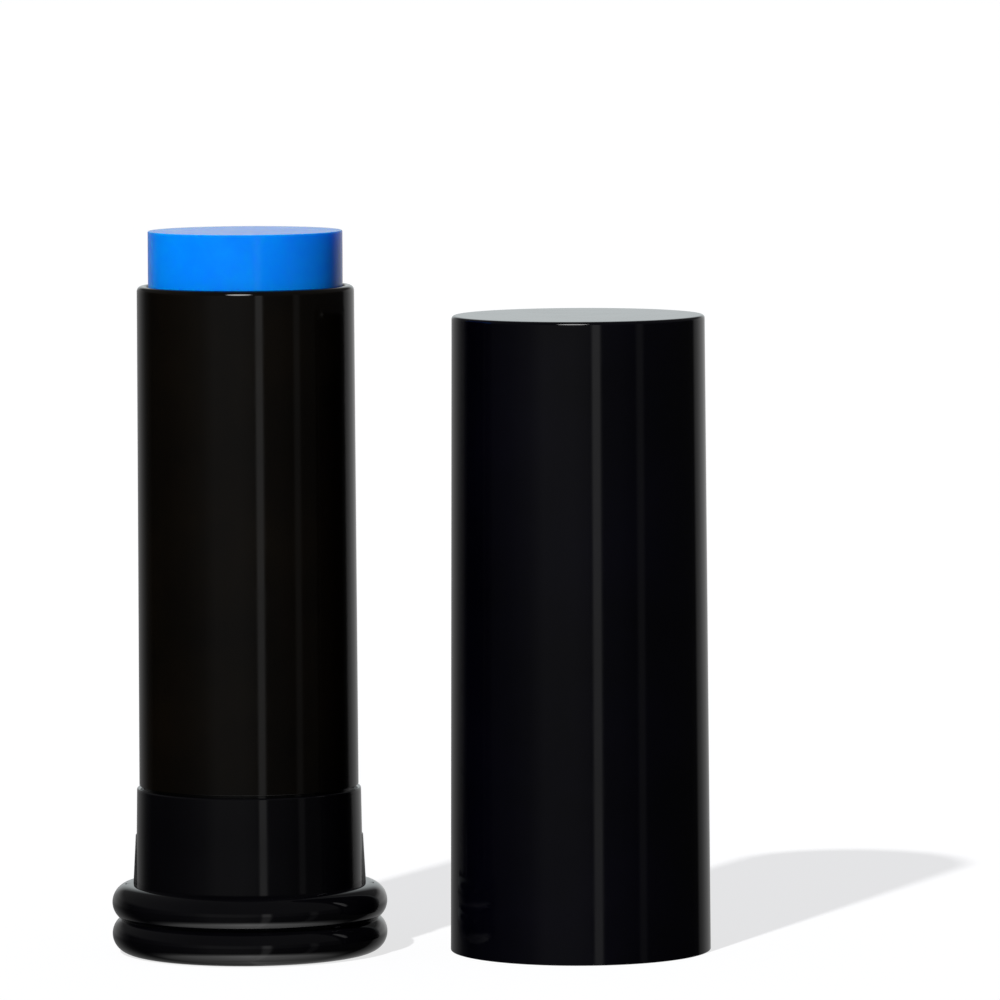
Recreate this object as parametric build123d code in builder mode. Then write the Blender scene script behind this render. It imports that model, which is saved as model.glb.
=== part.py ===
"""A twist-up stick of face paint, open, with its cap standing beside it.

Millimetres, +Z up. The origin is the centre of the stick's flat foot, on the stick's axis.
The cap stands mouth down on the same floor, along +X.
Turning the barrel against the base drives the carrier up a two-start screw, and the paint with it.
"""
import os
from build123d import *

os.makedirs("parts", exist_ok=True)

# ---------------------------------------------------------------- driving dimensions
# Paint
paint_radius = 11.28        # the moulded paint, where it shows above the rim
paint_shows = 6.35          # how far the paint stands out of the barrel
paint_cover = 4.9           # paint left over the end of the screw when it is wound right down
paint_edge = 0.15           # rounding of the paint's top edge
cast_gap = 0.05             # between the paint and the cup it is cast in

# Barrel
paint_gap = 0.25            # between the paint and the barrel
barrel_wall = 1.05          # at the rim
barrel_draft = 0.16         # how much wider the barrel is at its shoulder than at its rim
barrel_length = 58.1        # from the shoulder to the rim
rim_edge = 0.6             # rounding outside the rim
rim_lip = 0.25              # rounding inside the rim
shoulder_edge = 0.15
neck_wall = 0.72
neck_snap = 0.22            # how far the snap bead stands out of the neck
neck_snap_height = 1.2
keyway_count = 4
keyway_width = 2.0
keyway_depth = 0.3
keyway_stop = 2.4           # plain bore left above the keyways

# Base
turning_fit = 0.08          # between the neck and the collar, and round the snap bead
collar_wall = 0.70          # at the collar's top
collar_draft = 0.17         # how much wider the collar is at its foot than at its top
collar_length = 11.16       # from the cap's seat to the collar's top
collar_edge = 0.2
seam_gap = 0.24             # between the collar's top and the barrel's shoulder
bead_radius = 2.2           # the two grip beads
bead_pitch = 3.65
seat_width = 0.6            # flat ring between the collar and the crown of the upper bead
floor_thickness = 2.8
socket_depth = 1.8          # square socket for the screw's peg
neck_floor_gap = 1.6        # between the base's floor and the end of the neck
snap_height = 3.4           # middle of the snap bead, above the base's floor
rib_width = 2.0             # a rib's width at its foot
rib_top_width = 1.4
rib_root = 0.33             # how far a rib stands out of the collar at its foot
rib_tip = 0.12              # and at its top
rib_length = 5.6
rib_sink = 0.5              # how far a rib's foot runs down into the upper bead
rib_edge = 0.25

# Screw
screw_core = 2.1
screw_ridge = 2.9
ridge_width = 1.8
screw_lead = 8.0            # rise for one turn, with two starts
screw_flange_radius = 5.0
screw_flange = 1.0
peg_side = 4.4
peg_fit = 0.01
screw_end_gap = 0.5         # paint bore left over the screw when the paint is wound right down

# Carrier
cup_depth = 6.0
cup_wall = 0.7
cup_floor = 1.4
hub_wall = 0.9
hub_length = 5.0            # above the cup's floor
thread_gap = 0.25
key_gap = 0.15
carrier_lift = 0.6          # left under the carrier when it is wound right down
paint_below_rim = 2.15      # how far the paint goes below the rim when it is wound right down

# Cap
cap_offset = 38.5           # from the stick's axis to the cap's axis
cap_fit = 0.02              # between the ribs and the cap's mouth
cap_wall = 1.6              # at the mouth
cap_draft = 0.48            # how much narrower the cap is at its top
cap_bore_draft = 0.4
cap_land = 12.0             # straight length of the bore at the mouth
cap_headroom = 2.6          # between the barrel's rim and the inside of the closed cap
cap_top = 1.84
cap_edge = 0.4
cap_mouth_edge = 0.1
cap_inner_edge = 1.5

# ---------------------------------------------------------------- worked-out radii
bore_radius = paint_radius + paint_gap
rim_radius = bore_radius + barrel_wall
shoulder_radius = rim_radius + barrel_draft
neck_radius = bore_radius + neck_wall
snap_radius = neck_radius + neck_snap
collar_bore = neck_radius + turning_fit
collar_top_radius = collar_bore + collar_wall
collar_foot_radius = collar_top_radius + collar_draft
bead_centre = collar_foot_radius + seat_width
keyway_radius = bore_radius + keyway_depth
key_radius = keyway_radius - key_gap
cup_inner = paint_radius - cup_wall
hub_radius = screw_ridge + thread_gap + hub_wall
cap_bore = collar_foot_radius + rib_root + cap_fit
cap_radius = cap_bore + cap_wall

# ---------------------------------------------------------------- worked-out heights
lower_bead = bead_radius
upper_bead = lower_bead + bead_pitch
seat_height = upper_bead + bead_radius
collar_top = seat_height + collar_length
shoulder_height = collar_top + seam_gap
rim_height = shoulder_height + barrel_length
paint_top = rim_height + paint_shows
neck_end = floor_thickness + neck_floor_gap
snap_middle = floor_thickness + snap_height
flange_top = floor_thickness + screw_flange
wind_down = paint_shows + paint_below_rim
carrier_foot = flange_top + carrier_lift + wind_down
cup_base = carrier_foot + cup_floor
cup_rim = cup_base + cup_depth
hub_top = cup_base + hub_length
paint_bore_top = paint_top - paint_cover
screw_top = paint_bore_top - wind_down - screw_end_gap
cap_ceiling = rim_height - seat_height + cap_headroom
cap_height = cap_ceiling + cap_top


def ring_edge(part, radius, height):
    """The circular edge of a turned part nearest to this radius and height."""
    circles = part.edges().filter_by(GeomType.CIRCLE)
    return circles.sort_by(lambda edge: abs(edge.radius - radius) + abs(edge.arc_center.Z - height))[0]


def screw_section(height, gap):
    """The screw's cross-section at a height, grown by a gap: a core with a ridge each side."""
    turned = Plane.XY.offset(height).rotated((0, 0, 360 * height / screw_lead))
    with BuildSketch(turned) as section:
        Circle(screw_core + gap)
        SlotOverall(2 * (screw_ridge + gap), ridge_width + 2 * gap)
    return section.sketch


def twist(section, low, high, mode):
    """Sweep a cross-section up the axis, turning it once in each lead, right-handed."""
    guide = Helix(screw_lead, high - low, screw_ridge, center=(0, 0, low))
    sweep(section, path=Line((0, 0, low), (0, 0, high)), binormal=guide, mode=mode)


def keys(radius, width):
    """A sketch of the spokes that fill the keyways, or run in them, out to a radius."""
    with PolarLocations(radius / 2, keyway_count):
        Rectangle(radius, width)
    Circle(radius, mode=Mode.INTERSECT)


# ---------------------------------------------------------------- base
with BuildPart() as base:
    waist_depth = (bead_radius**2 - (bead_pitch / 2) ** 2) ** 0.5
    waist = (bead_centre + waist_depth, lower_bead + bead_pitch / 2)
    with BuildSketch(Plane.XZ):
        with BuildLine():
            Line((0, 0), (bead_centre, 0))
            ThreePointArc((bead_centre, 0), (bead_centre + bead_radius, lower_bead), waist)
            ThreePointArc(waist, (bead_centre + bead_radius, upper_bead), (bead_centre, seat_height))
            Polyline(
                (bead_centre, seat_height),
                (collar_foot_radius, seat_height),
                (collar_top_radius, collar_top),
                (collar_bore, collar_top),
                (collar_bore, floor_thickness),
                (0, floor_thickness),
                (0, 0),
            )
        make_face()
    revolve(axis=Axis.Z)
    fillet(ring_edge(base, collar_top_radius, collar_top), collar_edge)
    # Groove that the barrel's snap bead turns in
    with BuildSketch(Plane.XY.offset(snap_middle - neck_snap_height / 2 - turning_fit)):
        Circle(snap_radius + turning_fit)
    extrude(amount=neck_snap_height + 2 * turning_fit, mode=Mode.SUBTRACT)
    # Square socket for the screw's peg
    with BuildSketch(Plane.XY.offset(floor_thickness)):
        Rectangle(peg_side + 2 * peg_fit, peg_side + 2 * peg_fit)
    extrude(amount=-socket_depth, mode=Mode.SUBTRACT)
    # Two tapered ribs that grip the cap, one each side of the collar
    for side in (1, -1):
        with BuildSketch(Plane.XY.offset(seat_height - rib_sink)):
            with Locations((side * (collar_foot_radius + rib_root - collar_wall / 2), 0)):
                RectangleRounded(collar_wall, rib_width, rib_edge)
        with BuildSketch(Plane.XY.offset(seat_height + rib_length)):
            with Locations((side * (collar_foot_radius + rib_tip - collar_wall / 2), 0)):
                RectangleRounded(collar_wall, rib_top_width, rib_edge)
        loft()
base.part.label = "base"
export_step(base.part, "parts/base.step")

# ---------------------------------------------------------------- screw
with BuildPart() as screw:
    with BuildSketch(Plane.XY.offset(floor_thickness - socket_depth)):
        Rectangle(peg_side, peg_side)
    extrude(amount=socket_depth)
    with BuildSketch(Plane.XY.offset(floor_thickness)):
        Circle(screw_flange_radius)
    extrude(amount=screw_flange)
    twist(screw_section(flange_top, 0), flange_top, screw_top, Mode.ADD)
screw.part.label = "screw"
export_step(screw.part, "parts/screw.step")

# ---------------------------------------------------------------- barrel
with BuildPart() as barrel:
    with BuildSketch(Plane.XZ):
        Polygon(
            (bore_radius, neck_end),
            (neck_radius, neck_end),
            (neck_radius, shoulder_height),
            (shoulder_radius, shoulder_height),
            (rim_radius, rim_height),
            (bore_radius, rim_height),
            align=None,
        )
    revolve(axis=Axis.Z)
    fillet(ring_edge(barrel, rim_radius, rim_height), rim_edge)
    fillet(ring_edge(barrel, bore_radius, rim_height), rim_lip)
    fillet(ring_edge(barrel, shoulder_radius, shoulder_height), shoulder_edge)
    # Snap bead round the neck
    with BuildSketch(Plane.XY.offset(snap_middle - neck_snap_height / 2)):
        Circle(snap_radius)
        Circle(neck_radius - neck_wall / 2, mode=Mode.SUBTRACT)
    extrude(amount=neck_snap_height)
    # Keyways that stop the carrier turning in the barrel
    with BuildSketch(Plane.XY.offset(neck_end)):
        keys(keyway_radius, keyway_width)
    extrude(amount=rim_height - keyway_stop - neck_end, mode=Mode.SUBTRACT)
barrel.part.label = "barrel"
export_step(barrel.part, "parts/barrel.step")

# ---------------------------------------------------------------- carrier
with BuildPart() as carrier:
    with BuildSketch(Plane.XY.offset(carrier_foot)):
        Circle(paint_radius)
    extrude(amount=cup_rim - carrier_foot)
    with BuildSketch(Plane.XY.offset(cup_base)):
        Circle(cup_inner)
        Circle(hub_radius, mode=Mode.SUBTRACT)
    extrude(amount=cup_depth, mode=Mode.SUBTRACT)
    with BuildSketch(Plane.XY.offset(hub_top)):
        Circle(hub_radius)
    extrude(amount=cup_rim - hub_top, mode=Mode.SUBTRACT)
    # Keys that run in the barrel's keyways
    with BuildSketch(Plane.XY.offset(carrier_foot)):
        keys(key_radius, keyway_width - 2 * key_gap)
        Circle(paint_radius - cup_wall / 2, mode=Mode.SUBTRACT)
    extrude(amount=cup_rim - carrier_foot)
    # The nut, in mesh with the screw at rest
    twist(screw_section(carrier_foot, thread_gap), carrier_foot, hub_top, Mode.SUBTRACT)
carrier.part.label = "carrier"
export_step(carrier.part, "parts/carrier.step")

# ---------------------------------------------------------------- paint
with BuildPart() as paint:
    with BuildSketch(Plane.XY.offset(cup_base)):
        Circle(cup_inner - cast_gap)
    extrude(amount=cup_depth + cast_gap)
    with BuildSketch(Plane.XY.offset(cup_rim + cast_gap)):
        Circle(paint_radius)
    extrude(amount=paint_top - cup_rim - cast_gap)
    fillet(ring_edge(paint, paint_radius, paint_top), paint_edge)
    # Hollow round the carrier's hub, and a blind bore that clears the screw
    with BuildSketch(Plane.XY.offset(cup_base)):
        Circle(hub_radius + cast_gap)
    extrude(amount=hub_length + cast_gap, mode=Mode.SUBTRACT)
    with BuildSketch(Plane.XY.offset(cup_base)):
        Circle(screw_ridge + thread_gap + cast_gap)
    extrude(amount=paint_bore_top - cup_base, mode=Mode.SUBTRACT)
paint.part.label = "paint"
export_step(paint.part, "parts/paint.step")

# ---------------------------------------------------------------- cap
with BuildPart() as cap:
    with BuildSketch(Plane.XZ.shift_origin((cap_offset, 0, 0))):
        Polygon(
            (cap_bore, 0),
            (cap_radius, 0),
            (cap_radius - cap_draft, cap_height),
            (0, cap_height),
            (0, cap_ceiling),
            (cap_bore - cap_bore_draft, cap_ceiling),
            (cap_bore, cap_land),
            align=None,
        )
    revolve(axis=Axis((cap_offset, 0, 0), (0, 0, 1)))
    fillet(ring_edge(cap, cap_radius - cap_draft, cap_height), cap_edge)
    fillet(ring_edge(cap, cap_bore - cap_bore_draft, cap_ceiling), cap_inner_edge)
    fillet(ring_edge(cap, cap_radius, 0), cap_mouth_edge)
    fillet(ring_edge(cap, cap_bore, 0), cap_mouth_edge)
cap.part.label = "cap"
export_step(cap.part, "parts/cap.step")
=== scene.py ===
"""A twist-up stick of blue face paint with its cap off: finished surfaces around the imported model.

Lengths are in metres. The turned pieces are spun from their outlines, at the sizes that the
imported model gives.
"""
from math import asin, cos, pi, radians, sin, tan

import bmesh
import bpy
from mathutils import Matrix, Vector


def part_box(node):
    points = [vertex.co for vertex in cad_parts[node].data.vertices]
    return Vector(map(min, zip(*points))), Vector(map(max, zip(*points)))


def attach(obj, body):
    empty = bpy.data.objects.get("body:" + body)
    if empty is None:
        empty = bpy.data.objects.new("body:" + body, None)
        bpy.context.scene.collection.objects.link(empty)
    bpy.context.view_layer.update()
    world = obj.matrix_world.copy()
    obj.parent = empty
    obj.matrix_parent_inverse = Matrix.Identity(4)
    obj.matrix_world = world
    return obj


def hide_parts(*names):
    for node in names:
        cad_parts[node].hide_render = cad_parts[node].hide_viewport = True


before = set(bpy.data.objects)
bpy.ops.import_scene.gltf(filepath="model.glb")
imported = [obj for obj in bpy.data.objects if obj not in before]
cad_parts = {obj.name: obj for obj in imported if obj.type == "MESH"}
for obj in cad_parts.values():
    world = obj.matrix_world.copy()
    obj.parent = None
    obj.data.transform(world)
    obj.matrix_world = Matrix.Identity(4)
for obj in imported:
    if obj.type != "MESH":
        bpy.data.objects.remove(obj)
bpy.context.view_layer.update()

MM = 0.001
TURN_STEPS = 288            # facets round a turned piece
FILLET_STEPS = 6
BEAD_STEPS = 28             # on each bead's arc
SUPPORT = 0.2               # how far past a rounding its steadying points lie, as a share of its radius
SHARP_ANGLE = 32            # edges sharper than this stay crisp, in degrees


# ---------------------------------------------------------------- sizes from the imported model
def turned(node):
    """The radius of a round node, its lowest and highest point, and the X of its axis."""
    low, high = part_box(node)
    return (high.y - low.y) / 2, low.z, high.z, (low.x + high.x) / 2


paint_radius, cup_base, paint_top, _ = turned("paint")
shoulder_radius, neck_end, rim_height, _ = turned("barrel")
ring_radius, _, collar_top, _ = turned("base")
cap_radius, _, cap_height, cap_x = turned("cap")
cup_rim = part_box("carrier")[1].z
screw_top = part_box("screw")[1].z
screw_radius = 2.9 * MM

# Sizes that those boxes don't hold
cast_gap = 0.05 * MM
cup_wall = 0.7 * MM
paint_edge = 0.13 * MM
hub_radius = 4.05 * MM
hub_length = 5.0 * MM
screw_clearance = 0.3 * MM
paint_bore_spare = 9.0 * MM

barrel_draft = 0.16 * MM
bore_radius = paint_radius + 0.25 * MM
neck_wall = 0.72 * MM
neck_snap = 0.22 * MM
snap_half = 0.6 * MM
rim_edge = 0.6 * MM
rim_lip = 0.25 * MM
shoulder_edge = 0.15 * MM
seam_gap = 0.24 * MM
keyway_depth = 0.3 * MM
keyway_width = 2.0 * MM
keyway_count = 4
keyway_stop = 2.4 * MM

turning_fit = 0.08 * MM
collar_wall = 0.7 * MM
collar_draft = 0.17 * MM
collar_edge = 0.2 * MM
bead_radius = 2.2 * MM
bead_pitch = 3.65 * MM
floor_thickness = 2.8 * MM
socket_depth = 1.8 * MM
socket_radius = 3.13 * MM
snap_height = 3.4 * MM
rib_width = 2.0 * MM
rib_root = 0.33 * MM
rib_tip = 0.12 * MM
rib_length = 5.6 * MM
rib_edge = 0.3 * MM
rib_end = 0.12 * MM
rib_narrowing = 0.3         # how much of its width a rib loses towards its top

cap_wall = 1.6 * MM
cap_draft = 0.48 * MM
cap_bore_draft = 0.4 * MM
cap_land = 12.0 * MM
cap_top = 1.84 * MM
cap_edge = 0.4 * MM
cap_mouth_edge = 0.1 * MM
cap_inner_edge = 1.5 * MM


# ---------------------------------------------------------------- turning
def arc(centre, radius, start, end, steps):
    """Points round part of a circle in an outline, from one angle to another, in degrees."""
    angles = [radians(start + (end - start) * i / steps) for i in range(steps + 1)]
    return [(centre[0] + radius * cos(a), centre[1] + radius * sin(a)) for a in angles]


def rounded(corners, steps=FILLET_STEPS):
    """An outline through corners given as (radius, height) or (radius, height, rounding).

    Each rounding is a true arc, with a point close to each end that keeps the long sides' shading straight.
    """
    points = []
    for i, corner in enumerate(corners):
        here = Vector(corner[:2])
        rounding = corner[2] if len(corner) > 2 else 0
        if not rounding:
            points.append(tuple(here))
            continue
        back = (Vector(corners[i - 1][:2]) - here).normalized()
        on = (Vector(corners[i + 1][:2]) - here).normalized()
        half = back.angle(on) / 2
        reach = rounding / tan(half)
        centre = here + (back + on).normalized() * rounding / sin(half)
        first = here + back * reach
        last = here + on * reach
        sweep = (first - centre).angle_signed(last - centre)
        points.append(tuple(first + back * rounding * SUPPORT))
        for step in range(steps + 1):
            spoke = (first - centre).copy()
            spoke.rotate(Matrix.Rotation(-sweep * step / steps, 2))
            points.append(tuple(centre + spoke))
        points.append(tuple(last + on * rounding * SUPPORT))
    return points


def spin(outline, closed=False):
    """A mesh turned from an outline of (radius, height) points; a closed outline makes a tube."""
    bm = bmesh.new()
    verts = [bm.verts.new((radius, 0, height)) for radius, height in outline]
    edges = [bm.edges.new(pair) for pair in zip(verts, verts[1:])]
    if closed:
        edges.append(bm.edges.new((verts[-1], verts[0])))
    bmesh.ops.spin(bm, geom=verts + edges, cent=(0, 0, 0), axis=(0, 0, 1), angle=2 * pi,
                   steps=TURN_STEPS, use_merge=True)
    bmesh.ops.remove_doubles(bm, verts=bm.verts[:], dist=MM / 1000)
    bmesh.ops.recalc_face_normals(bm, faces=bm.faces[:])
    return bm


def finish_piece(bm, name, body, nodes, material, shift=0.0):
    """Turn a mesh into a named piece that rides on a body and stands for CAD nodes."""
    bmesh.ops.translate(bm, verts=bm.verts[:], vec=(shift, 0, 0))
    mesh = bpy.data.meshes.new(name)
    bm.to_mesh(mesh)
    bm.free()
    mesh.shade_smooth()
    mesh.set_sharp_from_angle(angle=radians(SHARP_ANGLE))
    mesh.materials.append(material)
    piece = bpy.data.objects.new(name, mesh)
    bpy.context.scene.collection.objects.link(piece)
    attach(piece, body)
    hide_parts(*nodes)
    return piece


# ---------------------------------------------------------------- finishes
def new_material(name):
    """A material with its Principled shader, and Object coordinates through a Mapping node."""
    material = bpy.data.materials.new(name)
    material.use_nodes = True
    nodes = material.node_tree.nodes
    shader = nodes["Principled BSDF"] if "Principled BSDF" in nodes else nodes.new("ShaderNodeBsdfPrincipled")
    place = nodes.new("ShaderNodeTexCoord")
    mapping = nodes.new("ShaderNodeMapping")
    material.node_tree.links.new(place.outputs["Object"], mapping.inputs["Vector"])
    return material, shader, mapping


def noise(material, mapping, scale, detail=3.0, stretch=None):
    """A noise texture on the piece; stretch squeezes it along X, Y and Z."""
    tree = material.node_tree
    texture = tree.nodes.new("ShaderNodeTexNoise")
    texture.inputs["Scale"].default_value = scale
    texture.inputs["Detail"].default_value = detail
    source = mapping
    if stretch:
        source = tree.nodes.new("ShaderNodeMapping")
        source.inputs["Scale"].default_value = stretch
        tree.links.new(mapping.outputs["Vector"], source.inputs["Vector"])
    tree.links.new(source.outputs["Vector"], texture.inputs["Vector"])
    return texture.outputs["Fac"]


def spread(material, value, low, high, from_low=0.35, from_high=0.65):
    """A noise value mapped onto a range."""
    tree = material.node_tree
    ranged = tree.nodes.new("ShaderNodeMapRange")
    ranged.inputs["From Min"].default_value = from_low
    ranged.inputs["From Max"].default_value = from_high
    ranged.inputs["To Min"].default_value = low
    ranged.inputs["To Max"].default_value = high
    tree.links.new(value, ranged.inputs["Value"])
    return ranged.outputs["Result"]


def blend(tree, value, first, second, kind="MIX"):
    """A colour that a value from 0 to 1 takes from the first to the second."""
    mix = tree.nodes.new("ShaderNodeMix")
    mix.data_type = "RGBA"
    mix.blend_type = kind
    for socket, given in ((mix.inputs["Factor"], value), (mix.inputs["A"], first), (mix.inputs["B"], second)):
        if isinstance(given, bpy.types.NodeSocket):
            tree.links.new(given, socket)
        else:
            socket.default_value = (*given, 1) if isinstance(given, tuple) else given
    return mix.outputs["Result"]


def bump(material, shader, height, strength, distance):
    """Raise the surface by a height value."""
    tree = material.node_tree
    node = tree.nodes.new("ShaderNodeBump")
    node.inputs["Strength"].default_value = strength
    node.inputs["Distance"].default_value = distance
    tree.links.new(height, node.inputs["Height"])
    tree.links.new(node.outputs["Normal"], shader.inputs["Normal"])


def polished_black(name, dark, light, rough):
    """Gloss black plastic with faint clouds in its colour and polish, and a trace of waviness."""
    material, shader, mapping = new_material(name)
    tree = material.node_tree
    clouds = spread(material, noise(material, mapping, scale=70), 0, 1)
    tree.links.new(blend(tree, clouds, dark, light), shader.inputs["Base Color"])
    handling = noise(material, mapping, scale=240, detail=6)
    tree.links.new(spread(material, handling, rough * 0.8, rough * 1.35), shader.inputs["Roughness"])
    waviness = noise(material, mapping, scale=60, detail=2, stretch=(1, 1, 0.15))
    bump(material, shader, waviness, strength=0.12, distance=0.06 * MM)
    shader.inputs["IOR"].default_value = 1.5
    return material


def wax_paint():
    """Blue wax paint: dense colour, a satin skin, and the soft light of wax."""
    material, shader, mapping = new_material("blue_wax")
    tree = material.node_tree
    clouds = spread(material, noise(material, mapping, scale=160, detail=4), 0, 1)
    blue = blend(tree, clouds, (0.0, 0.24, 0.97), (0.0, 0.27, 1.0))
    tree.links.new(blue, shader.inputs["Base Color"])
    skin = noise(material, mapping, scale=900, detail=5)
    tree.links.new(spread(material, skin, 0.15, 0.21), shader.inputs["Roughness"])
    ripple = noise(material, mapping, scale=500, detail=4)
    bump(material, shader, ripple, strength=0.1, distance=0.05 * MM)
    shader.inputs["Subsurface Weight"].default_value = 0.6
    shader.inputs["Subsurface Radius"].default_value = (0.1, 0.3, 1.0)
    shader.inputs["Subsurface Scale"].default_value = 0.004
    shader.inputs["IOR"].default_value = 1.45
    shader.inputs["Specular IOR Level"].default_value = 0.35
    return material


def natural_plastic():
    """The mechanism's unpolished natural plastic."""
    material, shader, mapping = new_material("natural_plastic")
    tree = material.node_tree
    clouds = spread(material, noise(material, mapping, scale=200), 0, 1)
    white = blend(tree, clouds, (0.74, 0.73, 0.69), (0.8, 0.79, 0.75))
    tree.links.new(white, shader.inputs["Base Color"])
    grain = noise(material, mapping, scale=1500, detail=4)
    tree.links.new(spread(material, grain, 0.42, 0.55), shader.inputs["Roughness"])
    bump(material, shader, grain, strength=0.1, distance=0.03 * MM)
    return material


cool_black = polished_black("cool_black", (0.0007, 0.0006, 0.0011), (0.0013, 0.0012, 0.0018), 0.07)
blue_black = polished_black("blue_black", (0.0003, 0.0003, 0.0012), (0.0008, 0.0007, 0.0024), 0.07)
warm_black = polished_black("warm_black", (0.0008, 0.0005, 0.0002), (0.0024, 0.0015, 0.0006), 0.08)
blue_wax = wax_paint()
mechanism_plastic = natural_plastic()


# ---------------------------------------------------------------- paint
def make_paint():
    """The stick of paint, with the hollow round the carrier's hub and the blind bore over the screw."""
    foot_radius = paint_radius - cup_wall - cast_gap
    shelf = cup_rim + cast_gap
    hub_top = cup_base + hub_length + cast_gap
    hub = hub_radius + cast_gap
    bore = screw_radius + screw_clearance
    bore_top = screw_top + paint_bore_spare
    bm = spin(rounded([
        (0, paint_top),
        (paint_radius, paint_top, paint_edge),
        (paint_radius, shelf),
        (foot_radius, shelf),
        (foot_radius, cup_base),
        (hub, cup_base),
        (hub, hub_top),
        (bore, hub_top),
        (bore, bore_top),
        (0, bore_top),
    ]))
    return finish_piece(bm, "paint_stick", "carrier", ["paint"], blue_wax)


# ---------------------------------------------------------------- barrel
def in_keyway(point):
    """Whether a point on the barrel's bore lies in one of the keyways' arcs."""
    half = asin(keyway_width / 2 / bore_radius)
    spacing = 2 * pi / keyway_count
    angle = Vector((1, 0)).angle_signed(point.xy) % spacing
    return min(angle, spacing - angle) < half


def cut_keyways(bm, stop):
    """Sink the keyways into the bore, from the neck's end up to a stop, open at the neck."""
    def on_bore(face):
        middle = face.calc_center_median()
        near = abs(middle.xy.length - bore_radius) < keyway_depth / 4
        return near and middle.z < stop and in_keyway(middle)

    def across_mouth(face):
        middle = face.calc_center_median()
        inside = middle.xy.length < bore_radius + keyway_depth
        return inside and abs(middle.z - neck_end) < MM / 1000 and in_keyway(middle)

    for_cut = [face for face in bm.faces if on_bore(face)]
    grown = bmesh.ops.extrude_face_region(bm, geom=for_cut)
    bmesh.ops.delete(bm, geom=for_cut, context="FACES")
    moved = [item for item in grown["geom"] if isinstance(item, bmesh.types.BMVert)]
    outward = 1 + keyway_depth / bore_radius
    bmesh.ops.scale(bm, verts=moved, vec=(outward, outward, 1))
    bmesh.ops.remove_doubles(bm, verts=bm.verts[:], dist=MM / 500)
    ends = [face for face in bm.faces if across_mouth(face)]
    bmesh.ops.delete(bm, geom=ends, context="FACES")
    bmesh.ops.recalc_face_normals(bm, faces=bm.faces[:])


def make_barrel():
    """The tube that turns in the collar: rim, drafted side, shoulder, neck and snap bead."""
    rim_radius = shoulder_radius - barrel_draft
    neck_radius = bore_radius + neck_wall
    shoulder = collar_top + seam_gap
    snap = floor_thickness + snap_height
    stop = rim_height - keyway_stop
    bm = spin(rounded([
        (bore_radius, stop),
        (bore_radius, neck_end),
        (bore_radius + keyway_depth, neck_end),
        (neck_radius, neck_end),
        (neck_radius, snap - snap_half),
        (neck_radius + neck_snap, snap - snap_half),
        (neck_radius + neck_snap, snap + snap_half),
        (neck_radius, snap + snap_half),
        (neck_radius, shoulder),
        (shoulder_radius, shoulder, shoulder_edge),
        (rim_radius, rim_height, rim_edge),
        (bore_radius, rim_height, rim_lip),
        (bore_radius, stop + MM / 2),
    ]), closed=True)
    cut_keyways(bm, stop)
    return finish_piece(bm, "barrel_tube", "barrel", ["barrel"], warm_black)


# ---------------------------------------------------------------- base
def swell_ribs(bm, seat, collar_foot):
    """Raise the two grip ribs out of the collar, tapering in height and width from foot to top."""
    for vert in bm.verts:
        height = (vert.co.z - seat) / rib_length
        if not -0.01 < height < 1.001 or vert.co.xy.length < collar_foot - collar_wall / 2:
            continue
        half_width = rib_width / 2 * (1 - rib_narrowing * height)
        inside = half_width - abs(vert.co.y)
        rise = rib_root + (rib_tip - rib_root) * height
        lift = min(max(inside / rib_edge, 0), 1) * rise
        reach = vert.co.xy.length
        vert.co.x *= 1 + lift / reach
        vert.co.y *= 1 + lift / reach


def make_base():
    """The ringed base and its collar, in one moulding."""
    neck_radius = bore_radius + neck_wall
    collar_bore = neck_radius + turning_fit
    collar_rim = collar_bore + collar_wall
    collar_foot = collar_rim + collar_draft
    bead_centre = ring_radius - bead_radius
    seat = 2 * bead_radius + bead_pitch
    waist = asin(bead_pitch / 2 / bead_radius) * 180 / pi
    snap = floor_thickness + snap_height
    groove = snap_half + turning_fit
    groove_radius = neck_radius + neck_snap + turning_fit
    rib_top = seat + rib_length
    rib_radius = collar_foot - collar_draft * rib_length / (collar_top - seat)
    outline = [(0, 0)]
    outline += arc((bead_centre, bead_radius), bead_radius, -90, waist, BEAD_STEPS)
    outline += arc((bead_centre, bead_radius + bead_pitch), bead_radius, -waist, 90, BEAD_STEPS)[1:]
    outline += rounded([
        (collar_foot, seat),
        (rib_radius, rib_top),
        (rib_radius, rib_top + rib_end),
        (collar_rim, collar_top, collar_edge),
        (collar_bore, collar_top),
        (collar_bore, snap + groove),
        (groove_radius, snap + groove),
        (groove_radius, snap - groove),
        (collar_bore, snap - groove),
        (collar_bore, floor_thickness),
        (socket_radius, floor_thickness),
        (socket_radius, floor_thickness - socket_depth),
        (0, floor_thickness - socket_depth),
    ])
    bm = spin(outline)
    swell_ribs(bm, seat, collar_foot)
    return finish_piece(bm, "ringed_base", "base", ["base"], cool_black)


# ---------------------------------------------------------------- cap
def make_cap():
    """The loose cap, mouth down: drafted outside, straight land at the mouth, and a rounded blind end."""
    bore = cap_radius - cap_wall
    ceiling = cap_height - cap_top
    bm = spin(rounded([
        (0, cap_height),
        (cap_radius - cap_draft, cap_height, cap_edge),
        (cap_radius, 0, cap_mouth_edge),
        (bore, 0, cap_mouth_edge),
        (bore, cap_land),
        (bore - cap_bore_draft, ceiling, cap_inner_edge),
        (0, ceiling),
    ]))
    return finish_piece(bm, "cap_shell", "base", ["cap"], blue_black, cap_x)


make_paint()
barrel_tube = make_barrel()
make_base()
cap_shell = make_cap()
for node in ("screw", "carrier"):
    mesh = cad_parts[node].data
    mesh.materials.clear()
    mesh.materials.append(mechanism_plastic)


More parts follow.
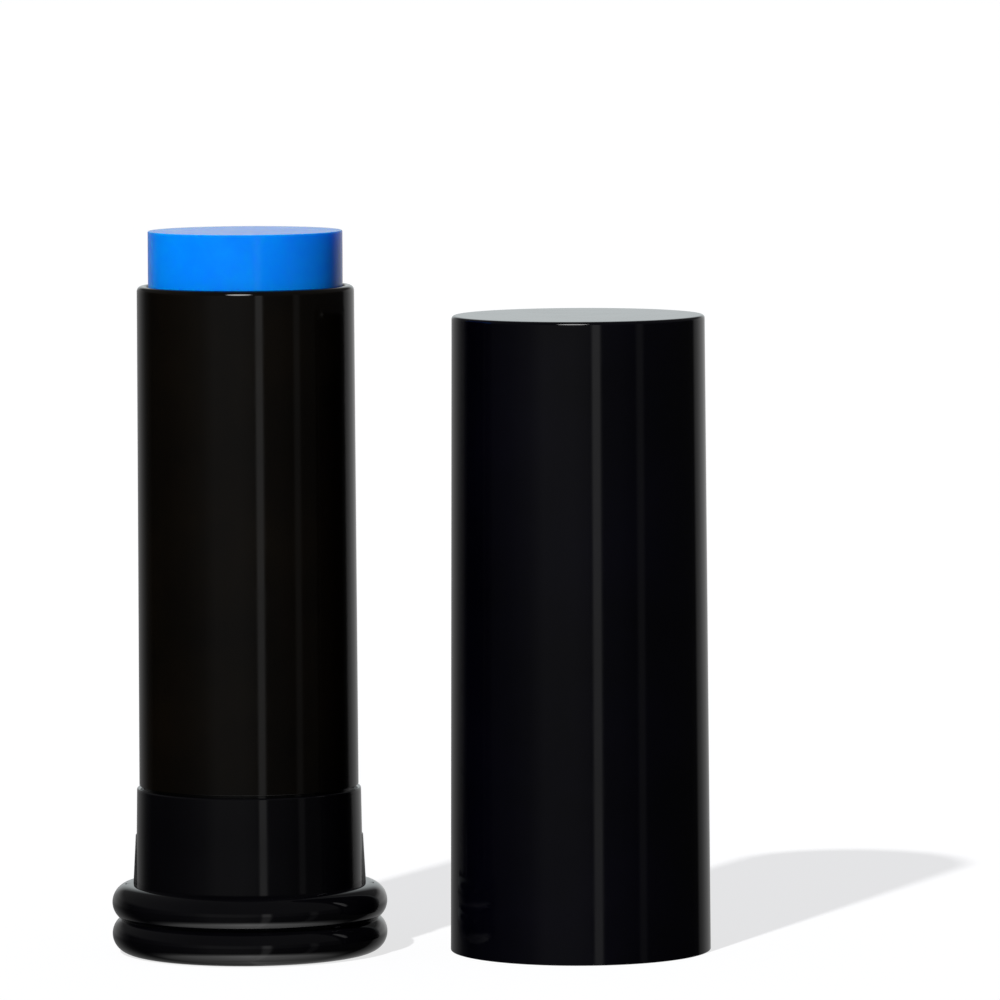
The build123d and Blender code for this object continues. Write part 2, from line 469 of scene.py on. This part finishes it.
# ---------------------------------------------------------------- studio
FLOOR_REACH = 6             # half the table top's side
FLOOR_WHITE = 0.30
FLOOR_LIFT = 0.745          # what the camera sees on the floor besides its lit colour
SKY_FILL = 0.12             # even light from all round
FILL_COLOUR = (0.9, 0.95, 1.3)
KEY_STRENGTH = 3.7
KEY_AZIMUTH = -23.2         # from the front towards the right, in degrees
KEY_ELEVATION = 39.9
KEY_SPREAD = 1.7            # the width of the key lamp in the sky, in degrees
# A faint lamp that catches the top edges of the barrel and the cap
GLINT_STRENGTH = 1.3
GLINT_AZIMUTH = -6
GLINT_ELEVATION = 30
GLINT_SPREAD = 25
BACKDROP = (0.655, 0.70, 0.71)   # the pale wall behind the object, above the table
# What the gloss shows at its own level: (azimuth right of the front, brightness)
SURROUNDINGS = (
    (-180, 0.30), (-160, 0.23), (-149, 0.18), (-139, 0.10), (-132, 0.045), (-128, 0.03), (-118, 0.01),
    (-90, 0.02), (-66, 0.04), (-46, 0.07), (-32, 0.12), (-5, 0.12), (8, 0.10), (11, 0.06),
    (12.2, 0.40), (18.6, 0.40), (20, 0.05), (36, 0.045), (52, 0.03),
    (55, 0.10), (59, 0.10), (62, 0.03), (83, 0.025), (118, 0.017), (128, 0.02),
    (132, 0.15), (137, 0.20), (146, 0.32), (158, 0.40), (180, 0.55),
)
# What the gloss shows of the table top at the object's foot: (degrees below level, share of its light)
UNDERFOOT = ((36, 0), (43, 0.3), (52, 1), (74, 0.55), (85, 0.4))
UNDERFOOT_LIGHT = 2.0
CEILING = 0.075             # what the gloss shows well above its own level
# The room's light by height, on the Z of a unit direction: its slope, its value at level, and its limits
ROOM_SLOPE = 6
ROOM_LEVEL = 1.5
ROOM_LIMITS = (0.7, 1.3)
# Where each part of the surroundings begins and is full, on one axis of a unit direction
CEILING_BOUNDS = (1 / 7, 2 / 7)          # Z
BACKDROP_SIDES = (0.32, 0.12)            # distance from the middle, in X
BACKDROP_DEPTH = (0.36, 0.76)            # Y
BACKDROP_FOOT = (0, 1 / 30)              # Z
TABLE_DEPTH = (7 / 15, -0.2)             # Y
TABLE_SIDE_LOSS = 0.9                    # how much of the table's light is lost right at the sides

CAMERA_PLACE = (0.02935, -0.9878, 0.13006)
CAMERA_LENS = 307.5
CAMERA_TILT = 4.491         # below level, in degrees
CAMERA_ROLL = -0.291


def from_front(azimuth, elevation):
    """The direction towards a place at an azimuth right of the front and an elevation."""
    flat = cos(radians(elevation))
    return Vector((sin(radians(azimuth)) * flat, -cos(radians(azimuth)) * flat, sin(radians(elevation))))


def math_node(tree, operation, first, second=None, third=None):
    """A Math node on sockets or numbers."""
    node = tree.nodes.new("ShaderNodeMath")
    node.operation = operation
    for socket, value in zip(node.inputs, (first, second, third)):
        if isinstance(value, bpy.types.NodeSocket):
            tree.links.new(value, socket)
        elif value is not None:
            socket.default_value = value
    return node.outputs[0]


def floor_finish():
    """White floor that keeps a soft shadow and stays out of the reflections."""
    material = bpy.data.materials.new("white_floor")
    material.use_nodes = True
    tree = material.node_tree
    tree.nodes.clear()
    output = tree.nodes.new("ShaderNodeOutputMaterial")
    diffuse = tree.nodes.new("ShaderNodeBsdfDiffuse")
    diffuse.inputs["Color"].default_value = (FLOOR_WHITE, FLOOR_WHITE, FLOOR_WHITE, 1)
    path = tree.nodes.new("ShaderNodeLightPath")
    lift = tree.nodes.new("ShaderNodeEmission")
    seen_lift = math_node(tree, "MULTIPLY", path.outputs["Is Camera Ray"], FLOOR_LIFT)
    tree.links.new(seen_lift, lift.inputs["Strength"])
    lit = tree.nodes.new("ShaderNodeAddShader")
    tree.links.new(diffuse.outputs[0], lit.inputs[0])
    tree.links.new(lift.outputs[0], lit.inputs[1])
    unseen = tree.nodes.new("ShaderNodeBsdfTransparent")
    mix = tree.nodes.new("ShaderNodeMixShader")
    tree.links.new(path.outputs["Is Glossy Ray"], mix.inputs[0])
    tree.links.new(lit.outputs[0], mix.inputs[1])
    tree.links.new(unseen.outputs[0], mix.inputs[2])
    tree.links.new(mix.outputs[0], output.inputs["Surface"])
    return material


def make_floor():
    """A pale table top that reaches past the horizon of every view."""
    bm = bmesh.new()
    bmesh.ops.create_grid(bm, x_segments=1, y_segments=1, size=FLOOR_REACH)
    mesh = bpy.data.meshes.new("floor")
    bm.to_mesh(mesh)
    bm.free()
    mesh.materials.append(floor_finish())
    floor = bpy.data.objects.new("floor", mesh)
    bpy.context.scene.collection.objects.link(floor)


def fade(tree, value, start, full):
    """A share that goes from 0 to 1 while a value goes from its start to where it is full."""
    gain = 1 / (full - start)
    share = math_node(tree, "MULTIPLY_ADD", value, gain, -start * gain)
    share.node.use_clamp = True
    return share


def ramp(tree, value, stops):
    """A brightness along a value from 0 to 1, in straight lines between (value, brightness) stops."""
    node = tree.nodes.new("ShaderNodeValToRGB")
    tree.links.new(value, node.inputs["Fac"])
    elements = node.color_ramp.elements
    while len(elements) < len(stops):
        elements.new(0.5)
    for element, (place, brightness) in zip(elements, stops):
        element.position = place
        element.color = (brightness, brightness, brightness, 1)
    return node.outputs["Color"]


def surroundings(tree):
    """The light of the studio round the object, by direction, as its gloss shows it."""
    place = tree.nodes.new("ShaderNodeTexCoord")
    split = tree.nodes.new("ShaderNodeSeparateXYZ")
    tree.links.new(place.outputs["Generated"], split.inputs[0])
    towards_front = math_node(tree, "MULTIPLY", split.outputs["Y"], -1)
    azimuth = math_node(tree, "ARCTAN2", split.outputs["X"], towards_front)
    turn = math_node(tree, "MULTIPLY_ADD", azimuth, 1 / (2 * pi), 0.5)
    level = ramp(tree, turn, [(degrees / 360 + 0.5, light) for degrees, light in SURROUNDINGS])
    lift = math_node(tree, "MULTIPLY_ADD", split.outputs["Z"], ROOM_SLOPE, ROOM_LEVEL)
    lift = math_node(tree, "MAXIMUM", lift, ROOM_LIMITS[0])
    lift = math_node(tree, "MINIMUM", lift, ROOM_LIMITS[1])
    level = blend(tree, 1, level, lift, "MULTIPLY")
    steep = fade(tree, split.outputs["Z"], *CEILING_BOUNDS)
    room = blend(tree, steep, level, (CEILING, CEILING, CEILING))
    aside = math_node(tree, "ABSOLUTE", split.outputs["X"])
    over_table = fade(tree, aside, *BACKDROP_SIDES)
    over_table = math_node(tree, "MULTIPLY", over_table, fade(tree, split.outputs["Y"], *BACKDROP_DEPTH))
    over_table = math_node(tree, "MULTIPLY", over_table, fade(tree, split.outputs["Z"], *BACKDROP_FOOT))
    above = blend(tree, over_table, room, BACKDROP)
    down = math_node(tree, "MULTIPLY", split.outputs["Z"], -1)
    table = ramp(tree, down, [(sin(radians(degrees)), share) for degrees, share in UNDERFOOT])
    centred = math_node(tree, "MULTIPLY_ADD", aside, -TABLE_SIDE_LOSS, 1)
    in_front = fade(tree, split.outputs["Y"], *TABLE_DEPTH)
    for share in (centred, in_front, UNDERFOOT_LIGHT):
        table = math_node(tree, "MULTIPLY", table, share)
    return blend(tree, 1, above, table, "ADD")


def make_world():
    """White to the camera, an even fill, and in reflections a pale backdrop and a dark room with lamps."""
    world = bpy.data.worlds.new("studio")
    world.use_nodes = True
    bpy.context.scene.world = world
    tree = world.node_tree
    tree.nodes.clear()
    output = tree.nodes.new("ShaderNodeOutputWorld")
    path = tree.nodes.new("ShaderNodeLightPath")
    seen = tree.nodes.new("ShaderNodeBackground")
    seen.inputs["Color"].default_value = (1, 1, 1, 1)
    reflected = tree.nodes.new("ShaderNodeBackground")
    tree.links.new(surroundings(tree), reflected.inputs["Color"])
    fill = tree.nodes.new("ShaderNodeBackground")
    fill.inputs["Color"].default_value = (*FILL_COLOUR, 1)
    fill.inputs["Strength"].default_value = SKY_FILL
    for_gloss = tree.nodes.new("ShaderNodeMixShader")
    tree.links.new(path.outputs["Is Glossy Ray"], for_gloss.inputs[0])
    tree.links.new(fill.outputs[0], for_gloss.inputs[1])
    tree.links.new(reflected.outputs[0], for_gloss.inputs[2])
    for_camera = tree.nodes.new("ShaderNodeMixShader")
    tree.links.new(path.outputs["Is Camera Ray"], for_camera.inputs[0])
    tree.links.new(for_gloss.outputs[0], for_camera.inputs[1])
    tree.links.new(seen.outputs[0], for_camera.inputs[2])
    tree.links.new(for_camera.outputs[0], output.inputs["Surface"])


def make_lamp(name, strength, azimuth, elevation, width):
    """A lamp so far off that its light is even over the whole table."""
    data = bpy.data.lights.new(name, "SUN")
    data.energy = strength
    data.angle = radians(width)
    lamp = bpy.data.objects.new(name, data)
    bpy.context.scene.collection.objects.link(lamp)
    towards = from_front(azimuth, elevation)
    lamp.location = towards
    lamp.rotation_euler = (-towards).to_track_quat("-Z", "Y").to_euler()
    return lamp


def make_lamps(edged):
    """The key lamp, kept out of the gloss, and a faint one that catches the edges of some pieces."""
    key = make_lamp("key", KEY_STRENGTH, KEY_AZIMUTH, KEY_ELEVATION, KEY_SPREAD)
    key.visible_glossy = False
    glint = make_lamp("glint", GLINT_STRENGTH, GLINT_AZIMUTH, GLINT_ELEVATION, GLINT_SPREAD)
    glint.visible_diffuse = False
    glint.data.cycles.max_bounces = 0
    catching = bpy.data.collections.new("edges")
    for piece in edged:
        catching.objects.link(piece)
    glint.light_linking.receiver_collection = catching


def make_camera():
    """A long lens nearly level with the object, a little above it and a hair off level."""
    data = bpy.data.cameras.new("camera")
    data.sensor_width = 36
    data.lens = CAMERA_LENS
    camera = bpy.data.objects.new("camera", data)
    bpy.context.scene.collection.objects.link(camera)
    tilt = Matrix.Rotation(radians(90 - CAMERA_TILT), 4, "X")
    roll = Matrix.Rotation(radians(CAMERA_ROLL), 4, "Z")
    camera.matrix_world = Matrix.Translation(CAMERA_PLACE) @ tilt @ roll
    data.clip_start = 0.01
    bpy.context.scene.camera = camera


make_floor()
make_world()
make_lamps([barrel_tube, cap_shell])
make_camera()
bpy.context.scene.view_settings.view_transform = "Standard"
